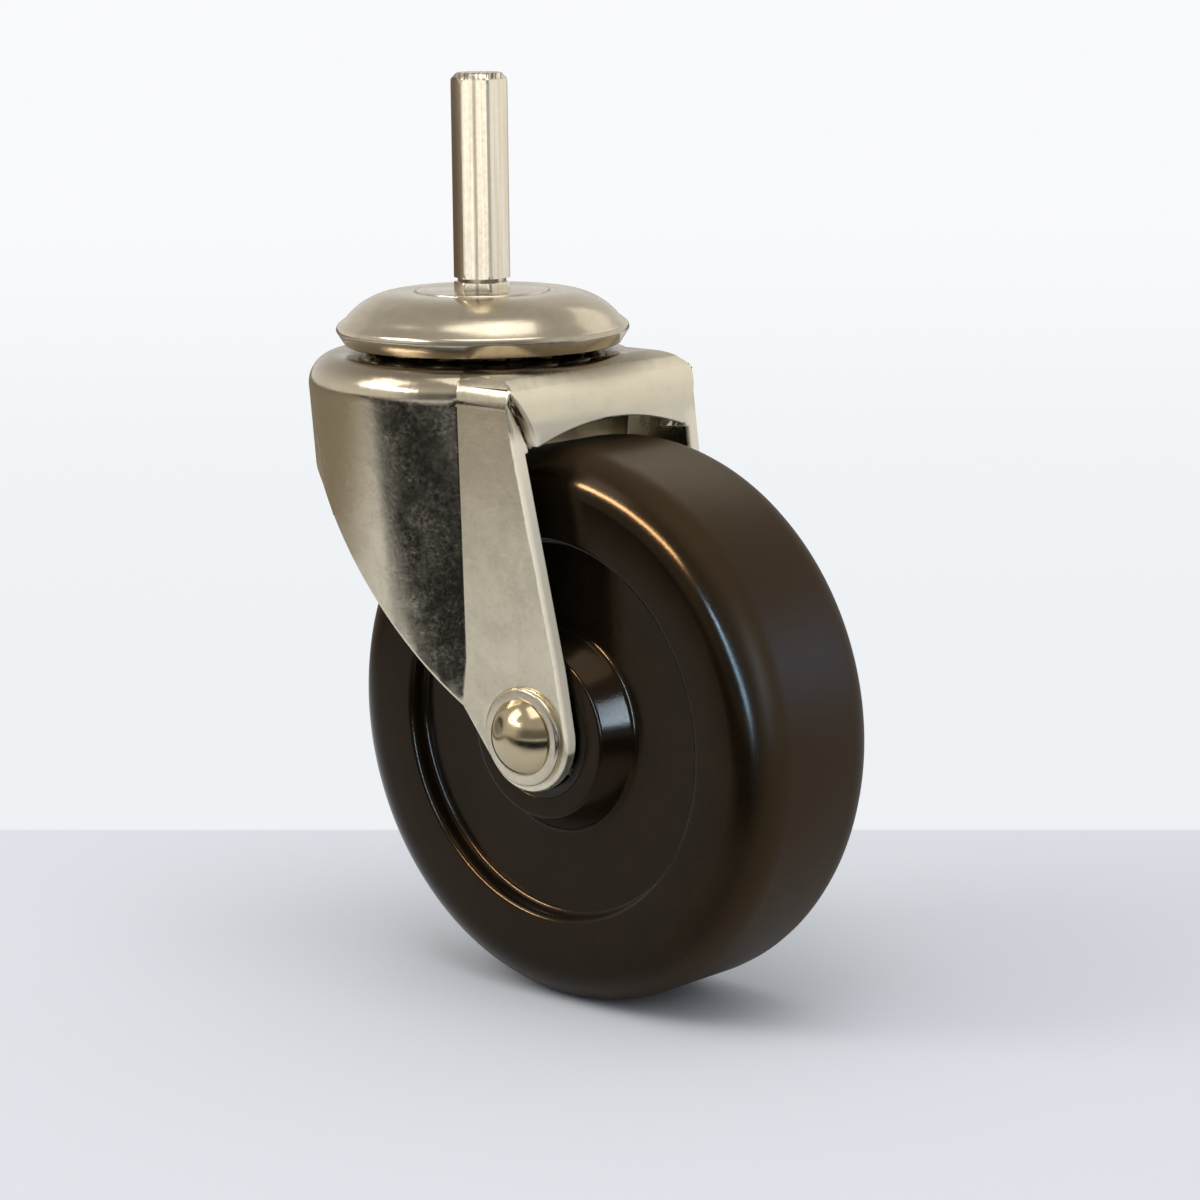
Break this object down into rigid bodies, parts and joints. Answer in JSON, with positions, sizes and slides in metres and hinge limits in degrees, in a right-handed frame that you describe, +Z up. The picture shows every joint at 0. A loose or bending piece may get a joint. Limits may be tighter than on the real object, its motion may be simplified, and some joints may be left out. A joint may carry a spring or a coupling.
{
  "type": "stem castor",
  "caption": "Swivel castor with a hexagonal stem, a polished domed race cap, a pressed steel fork and a black hard rubber wheel.",
  "frame": {"origin": "on the stem's axis, at the shoulder flange's top face, which seats on the leg the castor is fitted to", "axes": "+Z up along the stem, +X from the stem's axis towards the wheel (the trail), +Y along the axle"},
  "size_m": [0.1123, 0.0616, 0.164],
  "materials": {
    "stem_steel": "warm bright drawn steel, satin",
    "polished_steel": "polished nickel plate over pressed steel",
    "fork_steel": "bright zinc or nickel plate over pressed steel, slightly clouded",
    "plain_steel": "plain turned or pressed steel",
    "ball_steel": "hardened and polished",
    "black_rubber": "hard rubber, black brown, satin with a moulded gloss on the side"
  },
  "bodies": {
    "head": {"stem": "stem_steel", "top_cap": "polished_steel", "spacer_sleeve": "plain_steel", "lower_cup": "plain_steel", "kingpin_washer": "plain_steel"},
    "ball_rings": {"upper_balls": "ball_steel", "lower_balls": "ball_steel"},
    "fork_body": {"fork": "fork_steel", "axle_rivet": "fork_steel", "axle_washer_near": "plain_steel", "axle_washer_far": "plain_steel", "axle_sleeve": "plain_steel"},
    "wheel_body": {"wheel": "black_rubber", "hub_liner": "plain_steel", "hub_washer_near": "plain_steel", "hub_washer_far": "plain_steel", "bearing_rollers": "ball_steel", "roller_cage": "plain_steel"}
  },
  "joints": [
    {"name": "swivel", "type": "hinge", "parent": "head", "child": "fork_body", "pos_m": [0, 0, 0], "axis": [0, 0, 1], "continuous": true},
    {"name": "ring_turn", "type": "hinge", "parent": "head", "child": "ball_rings", "pos_m": [0, 0, 0], "axis": [0, 0, 1], "continuous": true},
    {"name": "wheel_spin", "type": "hinge", "parent": "fork_body", "child": "wheel_body", "pos_m": [0.03, 0, -0.075], "axis": [0, 1, 0], "continuous": true}
  ],
  "couplings": [
    {"joint": "ring_turn", "follows": "swivel", "ratio": 0.5}
  ]
}
